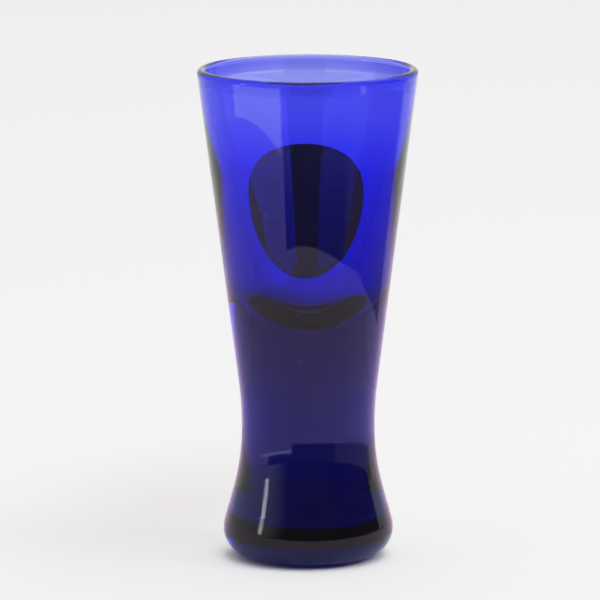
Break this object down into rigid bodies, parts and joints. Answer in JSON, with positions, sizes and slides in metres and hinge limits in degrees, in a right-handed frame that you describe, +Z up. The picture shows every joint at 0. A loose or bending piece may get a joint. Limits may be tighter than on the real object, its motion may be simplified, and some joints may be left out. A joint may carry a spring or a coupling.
{
  "type": "tall shot glass",
  "caption": "Tall flared shot glass in a slim pilsner shape, cobalt blue, with a solid stem and foot, a rounded lip and a plain oval enamel print.",
  "frame": {"origin": "centre of the base, on the plane of the table that the glass stands on", "axes": "+Z up along the glass's own axis; +Y towards the side of the wall that carries the oval print"},
  "size_m": [0.0469, 0.0468, 0.105],
  "materials": {
    "cobalt_glass": "gloss",
    "enamel": "gloss"
  },
  "bodies": {
    "root": {"glass_body": "cobalt_glass", "oval_print": "enamel"}
  },
  "joints": []
}
